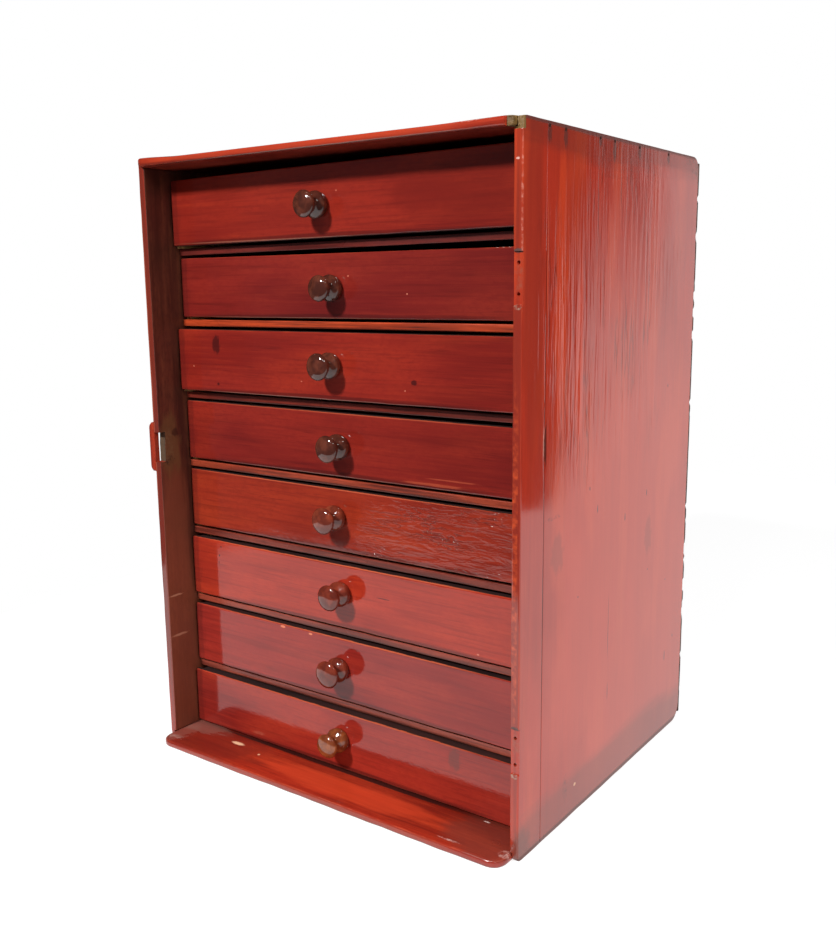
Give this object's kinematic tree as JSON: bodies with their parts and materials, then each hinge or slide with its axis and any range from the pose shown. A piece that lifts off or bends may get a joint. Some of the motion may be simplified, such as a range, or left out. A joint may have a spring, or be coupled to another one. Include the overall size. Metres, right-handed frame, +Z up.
{
  "type": "collectors cabinet",
  "caption": "Table-top collectors cabinet of red-stained, varnished pine: an open-fronted carcass with a projecting base lip and a stack of shallow knobbed drawers.",
  "frame": {"origin": "middle of the carcass footprint at floor level, on the underside of the bottom board", "axes": "+Z up, -Y out of the front where the drawers pull, +X to the right seen from the front"},
  "size_m": [0.3285, 0.2843, 0.45],
  "materials": {
    "carcass": "red-stained pine under a worn gloss varnish",
    "dust_board": "red-brown stain, worn to orange along the front edge",
    "back_panel": "rough dark-stained board",
    "drawer_front": "deep red-stained pine under a gloss varnish",
    "drawer_box": "bare pine, darkened by age",
    "knob": "turned wood, dark brown gloss varnish"
  },
  "bodies": {
    "carcass": {"side_left": "carcass", "side_right": "carcass", "top_board": "carcass", "bottom_board": "carcass", "back_panel": "back_panel", "dust_board_1": "dust_board", "dust_board_2": "dust_board", "dust_board_3": "dust_board", "dust_board_4": "dust_board", "dust_board_5": "dust_board", "dust_board_6": "dust_board", "dust_board_7": "dust_board"},
    "drawer_1": {"drawer_1_front": "drawer_front", "drawer_1_side_left": "drawer_box", "drawer_1_side_right": "drawer_box", "drawer_1_back": "drawer_box", "drawer_1_bottom": "drawer_box", "drawer_1_knob": "knob"},
    "drawer_2": {"drawer_2_front": "drawer_front", "drawer_2_side_left": "drawer_box", "drawer_2_side_right": "drawer_box", "drawer_2_back": "drawer_box", "drawer_2_bottom": "drawer_box", "drawer_2_knob": "knob"},
    "drawer_3": {"drawer_3_front": "drawer_front", "drawer_3_side_left": "drawer_box", "drawer_3_side_right": "drawer_box", "drawer_3_back": "drawer_box", "drawer_3_bottom": "drawer_box", "drawer_3_knob": "knob"},
    "drawer_4": {"drawer_4_front": "drawer_front", "drawer_4_side_left": "drawer_box", "drawer_4_side_right": "drawer_box", "drawer_4_back": "drawer_box", "drawer_4_bottom": "drawer_box", "drawer_4_knob": "knob"},
    "drawer_5": {"drawer_5_front": "drawer_front", "drawer_5_side_left": "drawer_box", "drawer_5_side_right": "drawer_box", "drawer_5_back": "drawer_box", "drawer_5_bottom": "drawer_box", "drawer_5_knob": "knob"},
    "drawer_6": {"drawer_6_front": "drawer_front", "drawer_6_side_left": "drawer_box", "drawer_6_side_right": "drawer_box", "drawer_6_back": "drawer_box", "drawer_6_bottom": "drawer_box", "drawer_6_knob": "knob"},
    "drawer_7": {"drawer_7_front": "drawer_front", "drawer_7_side_left": "drawer_box", "drawer_7_side_right": "drawer_box", "drawer_7_back": "drawer_box", "drawer_7_bottom": "drawer_box", "drawer_7_knob": "knob"},
    "drawer_8": {"drawer_8_front": "drawer_front", "drawer_8_side_left": "drawer_box", "drawer_8_side_right": "drawer_box", "drawer_8_back": "drawer_box", "drawer_8_bottom": "drawer_box", "drawer_8_knob": "knob"}
  },
  "joints": [
    {"name": "drawer_1_slide", "type": "slide", "parent": "carcass", "child": "drawer_1", "axis": [0, -1, 0], "range_m": [-0.0065, 0.1685]},
    {"name": "drawer_2_slide", "type": "slide", "parent": "carcass", "child": "drawer_2", "axis": [0, -1, 0], "range_m": [-0.0005, 0.1745]},
    {"name": "drawer_3_slide", "type": "slide", "parent": "carcass", "child": "drawer_3", "axis": [0, -1, 0], "range_m": [-0.0065, 0.1685]},
    {"name": "drawer_4_slide", "type": "slide", "parent": "carcass", "child": "drawer_4", "axis": [0, -1, 0], "range_m": [-0.0014, 0.1736]},
    {"name": "drawer_5_slide", "type": "slide", "parent": "carcass", "child": "drawer_5", "axis": [0, -1, 0], "range_m": [-0.001, 0.174]},
    {"name": "drawer_6_slide", "type": "slide", "parent": "carcass", "child": "drawer_6", "axis": [0, -1, 0], "range_m": [-0.003, 0.172]},
    {"name": "drawer_7_slide", "type": "slide", "parent": "carcass", "child": "drawer_7", "axis": [0, -1, 0], "range_m": [-0.003, 0.172]},
    {"name": "drawer_8_slide", "type": "slide", "parent": "carcass", "child": "drawer_8", "axis": [0, -1, 0], "range_m": [-0.0065, 0.1685]}
  ]
}
